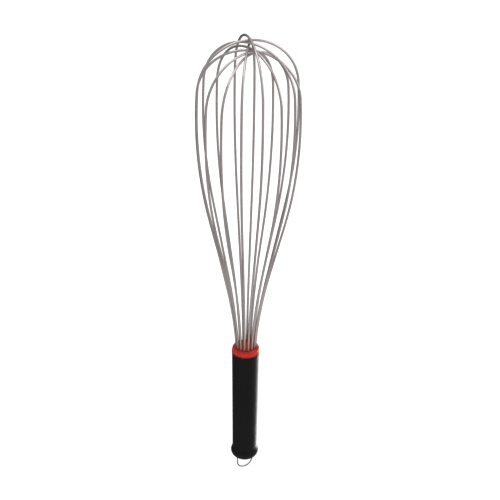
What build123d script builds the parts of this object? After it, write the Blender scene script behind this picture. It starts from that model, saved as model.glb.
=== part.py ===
"""Balloon whisk: eight steel wire loops in a sealed grip, with a swinging hang bail.

Millimetres, +Z from the butt to the wire crown.
The origin is on the axis, half way along the handle.
"""
import os
from math import acos, atan2, cos, hypot, pi, radians, sin, tan

from build123d import *

# ---- overall sizes ----
overall_length = 500.0  # butt face to the top of the tallest loop
handle_length = 152.0  # butt face to the collar's lip
rim = handle_length / 2
butt = -handle_length / 2

# ---- wires ----
loop_count = 8
wire_d = 2.4
wire_hole_d = 2.46  # bores that hold the wires
crown_pitch = 2.46  # each loop passes this much below the one before it
first_plane = 11.25  # degrees from +X
plane_step = 180.0 / loop_count
stack_slots = (3, 7, 5, 2, 4, 6, 0, 1)  # planes taken from the outermost loop inward

# ---- one loop's outline, in its own plane ----
balloon_r = 50.9  # wire centre at the widest point
belly_bend = 460.0  # long bow of the side
belly_rise = radians(3.8)  # the bow runs on this far above the widest point
shoulder_bend = 49.0
shoulder_turn = radians(65.5)
neck_bend = 550.0  # outward flare above the handle
ring_r = 9.0  # circle that the wires stand on inside the handle
neck_start = rim - 35.5
hook_bend = 2.0
hook_level = rim - 85.0
hook_tip = ring_r + hook_bend + 0.6

# ---- grip shell ----
grip_r = 15.0
grip_r_low = 14.1  # the grip narrows toward the flare
shell_bore_r = 13.0
shell_top = rim - 5.6
shell_edge = 0.9  # rounding of the shell's top edge, under the collar's skirt
bulge_r = 15.9
bulge_level = butt + 10.4
bulge_round = 7.3
flare_out = 5.0
flare_in = 14.0
cone_turn = radians(52.0)  # the bulge rounds this far under before the end cone
plug_r = 12.5
plug_seat = butt + 10.0

# ---- collar ----
collar_r = 15.35  # at the skirt, which overhangs the shell
collar_draft = radians(9.5)
lip_round = 1.4
hub_rise = 1.1  # the collar's top climbs this far from the lip to the wires
skirt_chamfer = 0.4
throat_r = 12.0
throat_chamfer = 0.4
spigot_depth = 18.0

# ---- inner pieces ----
seal_top = rim + hub_rise - 0.3
seal_bottom = rim - 18.0
guide_t = 6.0
guide_top = rim - 36.0
anchor_top = rim - 77.0

# ---- hang bail ----
bail_wire_d = 1.4
bail_half = 9.2
bail_pivot = butt + 3.2
bail_drop = 15.5  # butt face to the bottom of the bow, wire centre
bail_corner = 1.2
stub_end = 4.5
stub_bore_r = 0.78
slot_in = 7.8
slot_out = 10.3
swing = radians(60.0)
swing_gap = 1.05  # half width of the slot round the leg
fit_gap = 0.03

os.makedirs("parts", exist_ok=True)


def save(builder, name):
    """Label a finished piece and write its STEP file."""
    builder.part.label = name
    export_step(builder.part, f"parts/{name}.step")


def around(centre, radius, angle):
    """Point on a circle, angle in radians from the +r direction."""
    return centre[0] + radius * cos(angle), centre[1] + radius * sin(angle)


def half_outline(drop):
    """Points of one leg from its hook to the crown, (radius, height)."""
    # the belly's centre, low enough for this loop's crown to pass under the last one
    belly_r = balloon_r - belly_bend
    shoulder_top = belly_rise + shoulder_turn
    shoulder_r, rise = around((belly_r, 0), belly_bend - shoulder_bend, belly_rise)
    crown_bend = shoulder_bend + shoulder_r / cos(shoulder_top)
    crown_rise = rise + (shoulder_bend - crown_bend) * sin(shoulder_top) + crown_bend
    crown_level = butt + overall_length - wire_d / 2 - drop
    belly = (belly_r, crown_level - crown_rise)
    shoulder = around(belly, belly_bend - shoulder_bend, belly_rise)
    crown = (0.0, crown_level - crown_bend)
    # the straight run touches the neck bend and the belly bow
    neck = (ring_r + neck_bend, neck_start)
    span_r = neck[0] - belly[0]
    span_z = belly[1] - neck[1]
    lean = atan2(span_z, span_r) - acos((belly_bend + neck_bend) / hypot(span_r, span_z))
    hook = (ring_r + hook_bend, hook_level + hook_bend)
    return [
        (hook_tip, hook_level),
        (hook[0], hook_level),
        around(hook, hook_bend, radians(225)),
        (ring_r, hook[1]),
        (ring_r, neck_start),
        around(neck, neck_bend, pi - lean / 2),
        around(neck, neck_bend, pi - lean),
        around(belly, belly_bend, -lean),
        around(belly, belly_bend, (belly_rise - lean) / 2),
        around(belly, belly_bend, belly_rise),
        around(shoulder, shoulder_bend, belly_rise + shoulder_turn / 2),
        around(shoulder, shoulder_bend, shoulder_top),
        around(crown, crown_bend, pi / 2),
    ]


def upright_plane(angle):
    """Plane through the axis: x runs outward at this angle, y runs up."""
    turn = radians(angle)
    return Plane(
        origin=(0, 0, 0),
        x_dir=(cos(turn), sin(turn), 0),
        z_dir=(sin(turn), -cos(turn), 0),
    )


# ---- wire loops, outermost first ----
for level, slot in enumerate(stack_slots):
    points = half_outline(level * crown_pitch)
    with BuildPart() as wire_loop:
        with BuildLine(upright_plane(first_plane + slot * plane_step)) as run:
            for side in (-1, 1):
                leg = [(side * r, z) for r, z in points]
                Line(leg[0], leg[1])
                ThreePointArc(leg[1], leg[2], leg[3])
                Line(leg[3], leg[4])
                ThreePointArc(leg[4], leg[5], leg[6])
                Line(leg[6], leg[7])
                ThreePointArc(leg[7], leg[8], leg[9])
                ThreePointArc(leg[9], leg[10], leg[11])
            top_r, top_z = points[11]
            ThreePointArc((-top_r, top_z), points[12], (top_r, top_z))
        route = run.wires()[0]
        with BuildSketch(Plane(origin=route @ 0, z_dir=route % 0)):
            Circle(wire_d / 2)
        sweep(path=route)
    save(wire_loop, f"wire_loop_{level + 1}")

# ---- end cone, shared by the shell and the butt plug ----
bulge_centre = (bulge_r - bulge_round, bulge_level)
cone_r, cone_z = around(bulge_centre, bulge_round, -cone_turn)
flat_r = cone_r - (cone_z - butt) * tan(cone_turn)


def cone_height(radius):
    """Height of the end cone at a radius."""
    return butt + (radius - flat_r) / tan(cone_turn)


# ---- grip shell ----
with BuildPart() as grip_shell:
    with BuildSketch(Plane.XZ):
        with BuildLine():
            flare = acos(1 - (bulge_r - grip_r_low) / (flare_out + flare_in))
            bend = (bulge_r - flare_out, bulge_level)
            hollow_z = bulge_level + (flare_out + flare_in) * sin(flare)
            hollow = (grip_r_low + flare_in, hollow_z)
            Line((plug_r + fit_gap, cone_height(plug_r + fit_gap)), (cone_r, cone_z))
            ThreePointArc(
                (cone_r, cone_z),
                around(bulge_centre, bulge_round, -cone_turn / 2),
                (bulge_r, bulge_level),
            )
            ThreePointArc(
                (bulge_r, bulge_level),
                around(bend, flare_out, flare / 2),
                around(bend, flare_out, flare),
            )
            ThreePointArc(
                around(bend, flare_out, flare),
                around(hollow, flare_in, pi + flare / 2),
                (grip_r_low, hollow_z),
            )
            edge_centre = (grip_r - shell_edge, shell_top - shell_edge)
            Line((grip_r_low, hollow_z), (grip_r, edge_centre[1]))
            ThreePointArc(
                (grip_r, edge_centre[1]),
                around(edge_centre, shell_edge, pi / 4),
                (edge_centre[0], shell_top),
            )
            Polyline(
                (edge_centre[0], shell_top),
                (shell_bore_r, shell_top),
                (shell_bore_r, plug_seat),
                (plug_r + fit_gap, plug_seat),
                (plug_r + fit_gap, cone_height(plug_r + fit_gap)),
            )
        make_face()
    revolve(axis=Axis.Z)
save(grip_shell, "grip_shell")

# ---- collar: drafted skirt, rounded lip, low cone up to the wires, and a spigot ----
with BuildPart() as collar:
    with BuildSketch(Plane.XZ):
        with BuildLine():
            skirt_z = shell_top + skirt_chamfer
            lip_side = lip_round * sin(collar_draft)
            skirt_drop = rim - lip_round + lip_side - skirt_z
            lip_r = collar_r - skirt_drop * tan(collar_draft) - lip_round * cos(collar_draft)
            lip_centre = (lip_r, rim - lip_round)
            lip_end = around(lip_centre, lip_round, collar_draft)
            Polyline(
                (lip_r, rim),
                (throat_r + throat_chamfer, rim + hub_rise),
                (throat_r, rim + hub_rise - throat_chamfer),
                (throat_r, rim - spigot_depth),
                (shell_bore_r - fit_gap, rim - spigot_depth),
                (shell_bore_r - fit_gap, shell_top),
                (collar_r - skirt_chamfer, shell_top),
                (collar_r, skirt_z),
                lip_end,
            )
            ThreePointArc(
                lip_end,
                around(lip_centre, lip_round, (pi / 2 + collar_draft) / 2),
                (lip_r, rim),
            )
        make_face()
    revolve(axis=Axis.Z)
save(collar, "collar")

# ---- sealing compound that fills the collar's throat round the wires ----
with BuildPart() as sealing_plug:
    with BuildSketch(Plane.XY.offset(seal_bottom)):
        Circle(throat_r - fit_gap)
    extrude(amount=seal_top - seal_bottom)
    neck_points = half_outline(0)[3:7]
    for number in range(2 * loop_count):
        with BuildLine(upright_plane(first_plane + number * plane_step)) as run:
            Line((ring_r, seal_bottom - 18), neck_points[1])
            ThreePointArc(*neck_points[1:])
        route = run.wires()[0]
        with BuildSketch(Plane(origin=route @ 0, z_dir=route % 0)):
            Circle(wire_hole_d / 2)
        sweep(path=route, mode=Mode.SUBTRACT)
save(sealing_plug, "sealing_plug")

# ---- discs that space the wires inside the shell ----
for name, disc_top in (("wire_guide_disc", guide_top), ("wire_anchor_disc", anchor_top)):
    with BuildPart() as disc:
        with BuildSketch(Plane.XY.offset(disc_top - guide_t)):
            Circle(shell_bore_r - fit_gap)
            with PolarLocations(ring_r, 2 * loop_count, start_angle=first_plane):
                Circle(wire_hole_d / 2, mode=Mode.SUBTRACT)
        extrude(amount=guide_t)
        chamfer(disc.edges().filter_by(GeomType.CIRCLE).sort_by(SortBy.RADIUS)[-2:], 0.5)
    save(disc, name)

# ---- butt plug: shouldered so that a pull on the bail seats it ----
with BuildPart() as butt_plug:
    with BuildSketch(Plane.XZ):
        with BuildLine():
            Polyline(
                (0, butt),
                (flat_r, butt),
                (plug_r, cone_height(plug_r)),
                (plug_r, plug_seat + fit_gap),
                (shell_bore_r - fit_gap, plug_seat + fit_gap),
                (shell_bore_r - fit_gap, plug_seat + 4),
                (0, plug_seat + 4),
                (0, butt),
            )
        make_face()
    revolve(axis=Axis.Z)
    # fan-shaped slots for the bail's legs
    reach = bail_pivot - butt + 1.0
    edge_y = reach * sin(swing) / cos(swing) + swing_gap / cos(swing)
    side_y = swing_gap * cos(swing)
    side_z = swing_gap * sin(swing)
    for side in (-1, 1):
        start = slot_in if side > 0 else -slot_out
        with BuildSketch(Plane(origin=(start, 0, bail_pivot), x_dir=(0, 1, 0), z_dir=(1, 0, 0))):
            Circle(swing_gap)
            with BuildLine():
                Polyline(
                    (-side_y, side_z),
                    (side_y, side_z),
                    (edge_y, -reach),
                    (-edge_y, -reach),
                    (-side_y, side_z),
                )
            make_face()
        extrude(amount=slot_out - slot_in, mode=Mode.SUBTRACT)
        bore_start = stub_end - 0.5 if side > 0 else -slot_in
        with BuildSketch(Plane(origin=(bore_start, 0, bail_pivot), z_dir=(1, 0, 0))):
            Circle(stub_bore_r)
        extrude(amount=slot_in - stub_end + 0.5, mode=Mode.SUBTRACT)
save(butt_plug, "butt_plug")

# ---- hang bail: one wire, its ends turned in as pivots ----
bow_level = butt - bail_drop + bail_half
with BuildPart() as hang_bail:
    with BuildLine(upright_plane(0)) as run:
        for side in (-1, 1):
            knee = (side * (bail_half - bail_corner), bail_pivot - bail_corner)
            mid_x = knee[0] + side * bail_corner * cos(pi / 4)
            Line((side * stub_end, bail_pivot), (knee[0], bail_pivot))
            ThreePointArc(
                (knee[0], bail_pivot),
                (mid_x, knee[1] + bail_corner * sin(pi / 4)),
                (side * bail_half, knee[1]),
            )
            Line((side * bail_half, knee[1]), (side * bail_half, bow_level))
        ThreePointArc((-bail_half, bow_level), (0, butt - bail_drop), (bail_half, bow_level))
    route = run.wires()[0]
    with BuildSketch(Plane(origin=route @ 0, z_dir=route % 0)):
        Circle(bail_wire_d / 2)
    sweep(path=route)
save(hang_bail, "hang_bail")
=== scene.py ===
"""Looks for the balloon whisk: materials, the poured seal, studio and camera."""

import math

import bmesh
import bpy
from mathutils import Matrix, Vector, noise


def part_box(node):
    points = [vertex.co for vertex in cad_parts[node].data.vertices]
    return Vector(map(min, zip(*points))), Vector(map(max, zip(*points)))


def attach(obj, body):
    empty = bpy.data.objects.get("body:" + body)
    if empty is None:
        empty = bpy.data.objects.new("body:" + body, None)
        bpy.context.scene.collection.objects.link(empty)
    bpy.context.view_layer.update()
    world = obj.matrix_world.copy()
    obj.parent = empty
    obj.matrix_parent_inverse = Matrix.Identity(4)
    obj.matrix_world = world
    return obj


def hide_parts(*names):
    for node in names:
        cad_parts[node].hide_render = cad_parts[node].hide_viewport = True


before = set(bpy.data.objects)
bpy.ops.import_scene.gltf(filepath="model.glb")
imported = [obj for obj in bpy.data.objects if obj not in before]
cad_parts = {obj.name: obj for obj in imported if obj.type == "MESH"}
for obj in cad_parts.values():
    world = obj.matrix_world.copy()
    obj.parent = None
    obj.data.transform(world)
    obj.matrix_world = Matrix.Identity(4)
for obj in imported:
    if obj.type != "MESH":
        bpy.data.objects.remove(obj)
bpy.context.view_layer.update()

MM = 0.001

# ---- places read from the frame ----
HUB_RISE = 1.1 * MM  # the collar climbs this far from its lip to the wires
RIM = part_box("collar")[1][2] - HUB_RISE  # the collar's lip
SHELL_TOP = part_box("grip_shell")[1][2]  # the collar's skirt sits on it
CROWN_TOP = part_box("wire_loop_1")[1][2]
BAIL_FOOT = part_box("hang_bail")[0][2]
SEAL_LOW, SEAL_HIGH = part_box("sealing_plug")
SEAL_R = SEAL_HIGH[0]
SEAL_FOOT, SEAL_TOP = SEAL_LOW[2], SEAL_HIGH[2]

WIRE_COUNT = 16
FIRST_WIRE = math.radians(11.25)
WIRE_CIRCLE = 10.15 * MM  # where the wires come through the seal's face
WIRE_R = 1.2 * MM

# ---- colours, linear ----
WHITE = (1.0, 1.0, 1.0, 1.0)
WIRE_LIGHT, WIRE_DARK = (0.69, 0.635, 0.637), (0.595, 0.543, 0.546)
# paler colour for the lower legs
WIRE_LOWER_PALE = (0.83, 0.785, 0.775)
# painted reflection of the red collar, laid into the colour of the wires' foot
WIRE_RED_REFLECTION = (0.68, 0.33, 0.24)
BAIL_LIGHT, BAIL_DARK = (0.42, 0.415, 0.41), (0.3, 0.295, 0.29)
GRIP_LIGHT, GRIP_DARK = (0.0038, 0.0036, 0.0038), (0.002, 0.0019, 0.002)
GRIP_RUBBED, GRIP_SCUFFED = (0.016, 0.016, 0.0165), (0.02, 0.02, 0.0205)
COLLAR_LIGHT, COLLAR_DARK = (0.62, 0.019, 0.011), (0.53, 0.013, 0.009)
# painted shade colours: next to the wires, and low on the collar's wall by the shell
COLLAR_SHADED, COLLAR_LOW_SHADE = (0.3, 0.02, 0.008), (0.07, 0.006, 0.007)
SEAL_LIGHT, SEAL_DARK = (0.46, 0.065, 0.032), (0.3, 0.04, 0.02)
SEAL_PIT_SHADE = (0.16, 0.025, 0.015)
DISC_LIGHT, DISC_DARK = (0.72, 0.7, 0.64), (0.6, 0.58, 0.51)
FLOOR_LIGHT, FLOOR_DARK = (0.93, 0.93, 0.93), (0.9, 0.9, 0.9)
TENT_TINT = (1.0, 0.985, 0.975, 1.0)


# ---- node helpers ----
def calculate(tree, operation, a, b=None):
    """Math node on one or two values, each a number or another node's output."""
    made = tree.nodes.new("ShaderNodeMath")
    made.operation = operation
    for socket, value in zip(made.inputs, (a, b)):
        if isinstance(value, (int, float)):
            socket.default_value = value
        elif value is not None:
            tree.links.new(value, socket)
    return made.outputs["Value"]


class Shade:
    """One Principled material, built up node by node."""

    def __init__(self, name, metallic=0.0, specular=0.5, edge=1.0):
        self.material = bpy.data.materials.new(name)
        self.material.use_nodes = True
        self.tree = self.material.node_tree
        self.bsdf = self.tree.nodes["Principled BSDF"]
        self.set("Metallic", metallic)
        self.set("Specular IOR Level", specular)
        self.set("Specular Tint", (edge, edge, edge, 1.0))
        self.where = self.node("ShaderNodeTexCoord").outputs["Object"]

    def set(self, socket, value):
        self.bsdf.inputs[socket].default_value = value

    def node(self, kind, **settings):
        made = self.tree.nodes.new(kind)
        for key, value in settings.items():
            setattr(made, key, value)
        return made

    def link(self, source, target):
        self.tree.links.new(source, target)

    def scaled(self, x, y, z):
        """Object position stretched by a different amount along each axis."""
        mapping = self.node("ShaderNodeMapping")
        mapping.inputs["Scale"].default_value = (x, y, z)
        self.link(self.where, mapping.inputs["Vector"])
        return mapping.outputs["Vector"]

    def noise(self, scale, detail=3.0, rough=0.5, vector=None, distortion=0.0):
        made = self.node("ShaderNodeTexNoise")
        made.inputs["Scale"].default_value = scale
        made.inputs["Detail"].default_value = detail
        made.inputs["Roughness"].default_value = rough
        made.inputs["Distortion"].default_value = distortion
        self.link(vector if vector is not None else self.where, made.inputs["Vector"])
        return made.outputs["Fac"]

    def ramp(self, source, low, high, out_low=0.0, out_high=1.0):
        """Smooth step from out_low to out_high as the source goes from low to high."""
        made = self.node("ShaderNodeMapRange")
        made.interpolation_type = "SMOOTHSTEP"
        made.inputs["From Min"].default_value = low
        made.inputs["From Max"].default_value = high
        made.inputs["To Min"].default_value = out_low
        made.inputs["To Max"].default_value = out_high
        self.link(source, made.inputs["Value"])
        return made.outputs["Result"]

    def add(self, a, b):
        return calculate(self.tree, "ADD", a, b)

    def subtract(self, a, b):
        return calculate(self.tree, "SUBTRACT", a, b)

    def times(self, a, b):
        return calculate(self.tree, "MULTIPLY", a, b)

    def mix(self, factor, a, b):
        made = self.node("ShaderNodeMix", data_type="RGBA")
        self.link(factor, made.inputs["Factor"])
        for socket, value in ((made.inputs["A"], a), (made.inputs["B"], b)):
            if isinstance(value, tuple):
                socket.default_value = (*value, 1.0)
            else:
                self.link(value, socket)
        return made.outputs["Result"]

    def along(self, axis):
        """Object position along X, Y or Z."""
        split = self.node("ShaderNodeSeparateXYZ")
        self.link(self.where, split.inputs["Vector"])
        return split.outputs[axis]

    def radius(self):
        """Distance from the whisk's axis."""
        flat = self.node("ShaderNodeVectorMath", operation="LENGTH")
        self.link(self.scaled(1, 1, 0), flat.inputs[0])
        return flat.outputs["Value"]

    def colour(self, source):
        self.link(source, self.bsdf.inputs["Base Color"])

    def roughness(self, source):
        self.link(source, self.bsdf.inputs["Roughness"])

    def bump(self, *layers):
        """Stack (height, strength, distance) layers into one normal."""
        normal = None
        for source, strength, distance in layers:
            made = self.node("ShaderNodeBump")
            made.inputs["Strength"].default_value = strength
            made.inputs["Distance"].default_value = distance
            self.link(source, made.inputs["Height"])
            if normal is not None:
                self.link(normal, made.inputs["Normal"])
            normal = made.outputs["Normal"]
        self.link(normal, self.bsdf.inputs["Normal"])


# ---- materials ----
def drawn_wire(name, light, dark, streak, red_reflection=0.0, low_pale_amount=0.0):
    """Drawn stainless wire: die lines, cloud, worn crown, paler lower legs, painted collar reflection
    at the foot.
    """
    s = Shade(name, metallic=1.0, edge=0.5)
    die_lines = s.noise(1.0, 4.0, 0.6, s.scaled(streak, streak, streak / 22))
    cloud = s.noise(42.0, 3.0, 0.55)
    fine = s.noise(2600.0, 2.0, 0.5)
    height = s.along("Z")
    tone = s.ramp(cloud, 0.32, 0.7)
    lined = s.mix(s.ramp(die_lines, 0.42, 0.62, 0.0, 0.35), s.mix(tone, dark, light), dark)
    worn = s.ramp(height, CROWN_TOP - 34 * MM, CROWN_TOP - 6 * MM, 0.0, 0.3)
    base = s.mix(s.times(worn, tone), lined, light)
    # the legs turn paler lower down, towards the grip
    low_pale = s.ramp(height, RIM + 75 * MM, RIM + 125 * MM, low_pale_amount, 0.0)
    base = s.mix(low_pale, base, WIRE_LOWER_PALE)
    # painted reflection: the wires just above the collar take on its red, fading upwards
    red_reflected = s.ramp(height, RIM + 1 * MM, RIM + 17 * MM, red_reflection, 0.0)
    s.colour(s.mix(red_reflected, base, WIRE_RED_REFLECTION))
    s.roughness(s.add(s.ramp(cloud, 0.3, 0.7, 0.22, 0.3), s.ramp(die_lines, 0.35, 0.7, 0.0, 0.1)))
    s.bump((die_lines, 0.25, 0.03 * MM), (fine, 0.12, 0.01 * MM))
    return s.material


def moulded_grip(name):
    """Black satin moulding: fine spark grain, faint seam, rubbed bulge, a few scuffs."""
    s = Shade(name, specular=0.2)
    grain = s.noise(2300.0, 3.0, 0.6)
    flow = s.noise(1.0, 3.0, 0.5, s.scaled(90, 90, 14))
    rubbed = s.ramp(s.radius(), 15.2 * MM, 15.9 * MM)
    scuffs = s.noise(1.0, 4.0, 0.7, s.scaled(700, 700, 110), 0.6)
    scuffed = s.times(s.ramp(scuffs, 0.6, 0.72), s.ramp(flow, 0.4, 0.7, 0.1, 0.6))
    base = s.mix(s.ramp(flow, 0.3, 0.7), GRIP_DARK, GRIP_LIGHT)
    base = s.mix(s.times(rubbed, s.ramp(grain, 0.3, 0.7, 0.1, 0.5)), base, GRIP_RUBBED)
    s.colour(s.mix(s.times(scuffed, 0.35), base, GRIP_SCUFFED))
    satin = s.add(s.ramp(grain, 0.25, 0.75, 0.4, 0.5), s.times(scuffed, 0.1))
    s.roughness(s.subtract(satin, s.times(rubbed, 0.06)))
    side = calculate(s.tree, "ABSOLUTE", s.along("Y"))
    seam_and_low_shade = s.ramp(side, 0.02 * MM, 0.16 * MM, 1.0, 0.0)
    s.bump((grain, 0.2, 0.02 * MM), (flow, 0.15, 0.12 * MM), (seam_and_low_shade, 0.35, 0.05 * MM))
    return s.material


def moulded_collar(name):
    """Red moulding: cloudy pigment, painted shade next to the wires, painted shade low on the wall at
    the shell.
    """
    s = Shade(name, specular=0.28)
    grain = s.noise(1500.0, 3.0, 0.55)
    cloud = s.noise(260.0, 3.0, 0.5)
    base = s.mix(s.ramp(cloud, 0.3, 0.7), COLLAR_DARK, COLLAR_LIGHT)
    # painted shade: the collar darkens where the wires crowd its hub and shade it
    near_wires = s.ramp(s.radius(), 11.9 * MM, 13.9 * MM, 1.0, 0.0)
    shade_by_wires = s.times(near_wires, s.ramp(cloud, 0.25, 0.7, 0.5, 0.9))
    base = s.mix(shade_by_wires, base, COLLAR_SHADED)
    # painted shade: the lower wall darkens towards the shell, darkest at the skirt
    seam_and_low_shade = s.ramp(s.along("Z"), SHELL_TOP + 0.2 * MM, SHELL_TOP + 2.8 * MM, 0.85, 0.0)
    s.colour(s.mix(seam_and_low_shade, base, COLLAR_LOW_SHADE))
    s.roughness(s.ramp(grain, 0.25, 0.75, 0.28, 0.42))
    s.bump((grain, 0.18, 0.02 * MM), (cloud, 0.12, 0.08 * MM))
    return s.material


def poured_seal(name):
    """Cast compound: mottled dark red with small pits, darkened by painted shade."""
    s = Shade(name, specular=0.3)
    mottle = s.noise(420.0, 5.0, 0.65)
    pits = s.noise(2400.0, 3.0, 0.6)
    base = s.mix(s.ramp(mottle, 0.3, 0.7), SEAL_DARK, SEAL_LIGHT)
    # painted shade darkens the pits
    s.colour(s.mix(s.ramp(pits, 0.62, 0.75, 0.0, 0.6), base, SEAL_PIT_SHADE))
    s.roughness(s.ramp(mottle, 0.3, 0.7, 0.5, 0.72))
    s.bump((mottle, 0.4, 0.12 * MM), (pits, 0.3, 0.03 * MM))
    return s.material


def pale_disc(name):
    """Natural nylon for the hidden discs: milky, with a fine machined swirl."""
    s = Shade(name, specular=0.4)
    swirl = s.node("ShaderNodeTexWave", wave_type="RINGS", rings_direction="Z")
    swirl.inputs["Scale"].default_value = 260.0
    swirl.inputs["Distortion"].default_value = 1.5
    s.link(s.where, swirl.inputs["Vector"])
    cloud = s.noise(300.0, 3.0, 0.5)
    s.colour(s.mix(s.ramp(cloud, 0.3, 0.7), DISC_DARK, DISC_LIGHT))
    s.roughness(s.ramp(cloud, 0.3, 0.7, 0.4, 0.55))
    s.bump((swirl.outputs["Fac"], 0.12, 0.03 * MM), (cloud, 0.1, 0.05 * MM))
    return s.material


def studio_white(name):
    """Matt white that glows a little, for the floor and the backdrop."""
    s = Shade(name, specular=0.1)
    s.colour(s.mix(s.noise(1.5, 2.0, 0.5), FLOOR_DARK, FLOOR_LIGHT))
    s.set("Roughness", 0.9)
    s.set("Emission Color", WHITE)
    s.set("Emission Strength", 0.62)
    return s.material


wire_steel = drawn_wire("whisk_wire_steel", WIRE_LIGHT, WIRE_DARK, 3600.0, red_reflection=0.95, low_pale_amount=0.75)
bail_steel = drawn_wire("bail_wire_steel", BAIL_LIGHT, BAIL_DARK, 4200.0)
grip_black = moulded_grip("grip_black_satin")
collar_red = moulded_collar("collar_red_moulding")
seal_red = poured_seal("seal_cast_red")
disc_white = pale_disc("disc_natural_nylon")

LOOKS = {
    "grip_shell": grip_black,
    "butt_plug": grip_black,
    "collar": collar_red,
    "sealing_plug": seal_red,
    "wire_guide_disc": disc_white,
    "wire_anchor_disc": disc_white,
    "hang_bail": bail_steel,
}
for node_name, node_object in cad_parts.items():
    look = LOOKS.get(node_name, wire_steel)
    for material_slot in node_object.material_slots:
        material_slot.material = look

# ---- the seal's poured face, climbing a little up each wire and the throat ----
FACE_DROP = 0.65 * MM  # the flat of the face lies this far below the CAD plug's top
WIRE_CLIMB, WIRE_FADE = 0.55 * MM, 0.45 * MM
WALL_CLIMB, WALL_FADE = 0.5 * MM, 0.4 * MM
RIPPLE, RIPPLE_SCALE = 0.12 * MM, 260.0
FACE_RINGS, FACE_SPOKES = 44, 192


def seal_height(x, y):
    """Height of the poured face above the CAD plug's top."""
    climb = 0.0
    for number in range(WIRE_COUNT):
        angle = FIRST_WIRE + number * 2 * math.pi / WIRE_COUNT
        gap = math.hypot(x - WIRE_CIRCLE * math.cos(angle), y - WIRE_CIRCLE * math.sin(angle))
        climb = max(climb, WIRE_CLIMB * math.exp(-max(gap - WIRE_R, 0.0) / WIRE_FADE))
    wall = SEAL_R - math.hypot(x, y)
    climb = max(climb, WALL_CLIMB * math.exp(-wall / WALL_FADE))
    ripple = noise.noise(Vector((x, y, 0.0)) * RIPPLE_SCALE) * RIPPLE
    return climb + ripple - FACE_DROP


def build_seal():
    """Solid plug: the poured face, a straight wall down the throat and a flat underside."""
    mesh = bmesh.new()
    face = []
    for ring in range(1, FACE_RINGS + 1):
        r = SEAL_R * ring / FACE_RINGS
        row = []
        for spoke in range(FACE_SPOKES):
            a = 2 * math.pi * spoke / FACE_SPOKES
            x, y = r * math.cos(a), r * math.sin(a)
            row.append(mesh.verts.new((x, y, SEAL_TOP + seal_height(x, y))))
        face.append(row)
    hub = mesh.verts.new((0, 0, SEAL_TOP + seal_height(0, 0)))
    foot = [mesh.verts.new((v.co.x, v.co.y, SEAL_FOOT)) for v in face[-1]]
    sole = mesh.verts.new((0, 0, SEAL_FOOT))
    for i in range(FACE_SPOKES):
        j = (i + 1) % FACE_SPOKES
        mesh.faces.new((hub, face[0][i], face[0][j]))
        for inner, outer in zip(face, face[1:]):
            mesh.faces.new((inner[i], outer[i], outer[j], inner[j]))
        mesh.faces.new((face[-1][i], foot[i], foot[j], face[-1][j]))
        mesh.faces.new((foot[i], sole, foot[j]))
    bmesh.ops.recalc_face_normals(mesh, faces=mesh.faces)
    data = bpy.data.meshes.new("poured_seal_face")
    mesh.to_mesh(data)
    mesh.free()
    for polygon in data.polygons:
        polygon.use_smooth = True
    data.materials.append(seal_red)
    made = bpy.data.objects.new("poured_seal_face", data)
    bpy.context.collection.objects.link(made)
    return made


seal_face = build_seal()
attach(seal_face, "whisk")
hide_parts("sealing_plug")

# ---- studio: the camera looks along +Y here, then camera and lights turn together ----
TURN = Matrix.Rotation(math.radians(-27.17), 4, "Z")
TILT = math.radians(29.64)
ROLL = math.radians(0.705)
DISTANCE = 1115.97 * MM
AIM = Vector((3.85 * MM, 0.0, RIM + 119.89 * MM))
LENS = 78.03
SHIFT = 0.001

# Soft spots of the tent: azimuth, elevation, sharpness, and level or, for the flag, depth.
WINDOW = (140.0, -33.0, 8.0, 0.25)
BACK_GLOW = (180.0, 45.0, 4.0, 0.25)
FLAG = (-130.0, -33.0, 3.0, 0.8)
TENT_LEVEL = 0.46

GRIP_CENTRE = (0.0, 0.0, 0.0)
PANEL_AIM = (0.0, 0.0, 0.12)  # in the cage's neck, just above the grip
FLOOR_REACH = 6.0
FLOOR_GAP = 0.2 * MM  # between the bail's lowest point and the floor
DOME_R = 5.5


def place_camera():
    forward = Vector((0.0, math.cos(TILT), -math.sin(TILT)))
    right = Vector((1.0, 0.0, 0.0))
    up = right.cross(forward)
    side = right * math.cos(ROLL) + up * math.sin(ROLL)
    top = up * math.cos(ROLL) - right * math.sin(ROLL)
    columns = Matrix((side, top, -forward)).transposed().to_4x4()
    camera = bpy.data.objects.new("camera", bpy.data.cameras.new("camera"))
    camera.data.lens = LENS
    camera.data.shift_x = -SHIFT
    camera.data.shift_y = SHIFT
    camera.data.clip_start = 0.05
    camera.data.clip_end = 50.0
    camera.matrix_world = TURN @ Matrix.Translation(AIM - forward * DISTANCE) @ columns
    bpy.context.collection.objects.link(camera)
    bpy.context.scene.camera = camera


def soft_box(name, spot, target, width, height, power):
    """Area light that turns with the camera, aimed at a point."""
    light = bpy.data.lights.new(name, "AREA")
    light.shape = "RECTANGLE"
    light.size = width
    light.size_y = height
    light.energy = power
    lamp = bpy.data.objects.new(name, light)
    aim = (Vector(target) - Vector(spot)).to_track_quat("-Z", "Y").to_matrix().to_4x4()
    lamp.matrix_world = TURN @ Matrix.Translation(Vector(spot)) @ aim
    bpy.context.collection.objects.link(lamp)
    return lamp


def build_edge_strip():
    """Low strip behind and to the right that lights only the handle and is shadowed only by it."""
    parts = bpy.data.collections.new("handle_parts")
    for part in ("grip_shell", "butt_plug", "collar"):
        parts.objects.link(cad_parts[part])
    strip = soft_box("edge_strip", (0.44, 0.64, -0.52), GRIP_CENTRE, width=0.5, height=0.9, power=11.0)
    strip.light_linking.receiver_collection = parts
    strip.light_linking.blocker_collection = parts


def build_floor(white):
    """White floor just under the bail, left out of reflections."""
    level = BAIL_FOOT - FLOOR_GAP
    signs = ((-1, -1), (1, -1), (1, 1), (-1, 1))
    corners = [(x * FLOOR_REACH, y * FLOOR_REACH, level) for x, y in signs]
    data = bpy.data.meshes.new("floor")
    data.from_pydata(corners, [], [(0, 1, 2, 3)])
    data.materials.append(white)
    floor = bpy.data.objects.new("floor", data)
    bpy.context.collection.objects.link(floor)
    floor.visible_glossy = False


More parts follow.
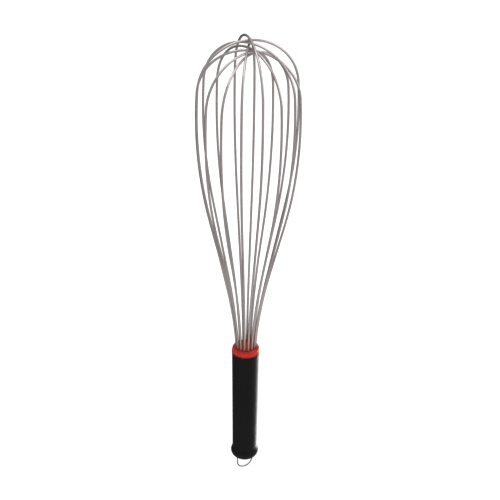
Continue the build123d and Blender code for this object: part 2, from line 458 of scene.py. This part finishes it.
def build_backdrop(white):
    """White dome behind everything, seen by the camera only."""
    mesh = bmesh.new()
    bmesh.ops.create_icosphere(mesh, subdivisions=5, radius=DOME_R)
    data = bpy.data.meshes.new("backdrop")
    mesh.to_mesh(data)
    mesh.free()
    data.materials.append(white)
    dome = bpy.data.objects.new("backdrop", data)
    bpy.context.collection.objects.link(dome)
    dome.visible_glossy = False
    dome.visible_diffuse = False
    dome.visible_shadow = False
    dome.visible_transmission = False


def build_tent():
    """Even grey tent: faint window low behind right, dark flag low behind left, glow high behind."""
    world = bpy.data.worlds.new("studio")
    world.use_nodes = True
    tree = world.node_tree
    background = tree.nodes["Background"]
    background.inputs["Color"].default_value = TENT_TINT
    look = tree.nodes.new("ShaderNodeTexCoord").outputs["Generated"]

    def glow(azimuth, elevation, sharpness, level):
        """Soft spot. Azimuth 0 is the camera's side of the whisk and 90 is to its right."""
        a, e = math.radians(azimuth), math.radians(elevation)
        way = Vector((math.sin(a) * math.cos(e), -math.cos(a) * math.cos(e), math.sin(e)))
        dot = tree.nodes.new("ShaderNodeVectorMath")
        dot.operation = "DOT_PRODUCT"
        dot.inputs[1].default_value = TURN @ way
        tree.links.new(look, dot.inputs[0])
        facing = calculate(tree, "MAXIMUM", dot.outputs["Value"], 0.0)
        return calculate(tree, "MULTIPLY", calculate(tree, "POWER", facing, sharpness), level)

    open_share = calculate(tree, "SUBTRACT", 1.0, glow(*FLAG))
    total = calculate(tree, "MULTIPLY", open_share, TENT_LEVEL)
    total = calculate(tree, "ADD", total, glow(*WINDOW))
    total = calculate(tree, "ADD", total, glow(*BACK_GLOW))
    tree.links.new(total, background.inputs["Strength"])
    bpy.context.scene.world = world


build_tent()
bpy.context.scene.view_settings.view_transform = "Standard"

floor_white = studio_white("floor_white")
build_floor(floor_white)
build_backdrop(floor_white)
place_camera()
build_edge_strip()
soft_box("right_panel", (1.3, -0.35, 0.9), PANEL_AIM, width=0.9, height=1.2, power=6.0)
soft_box("top_panel", (-0.2, -0.2, 1.9), PANEL_AIM, width=1.4, height=1.4, power=9.0)
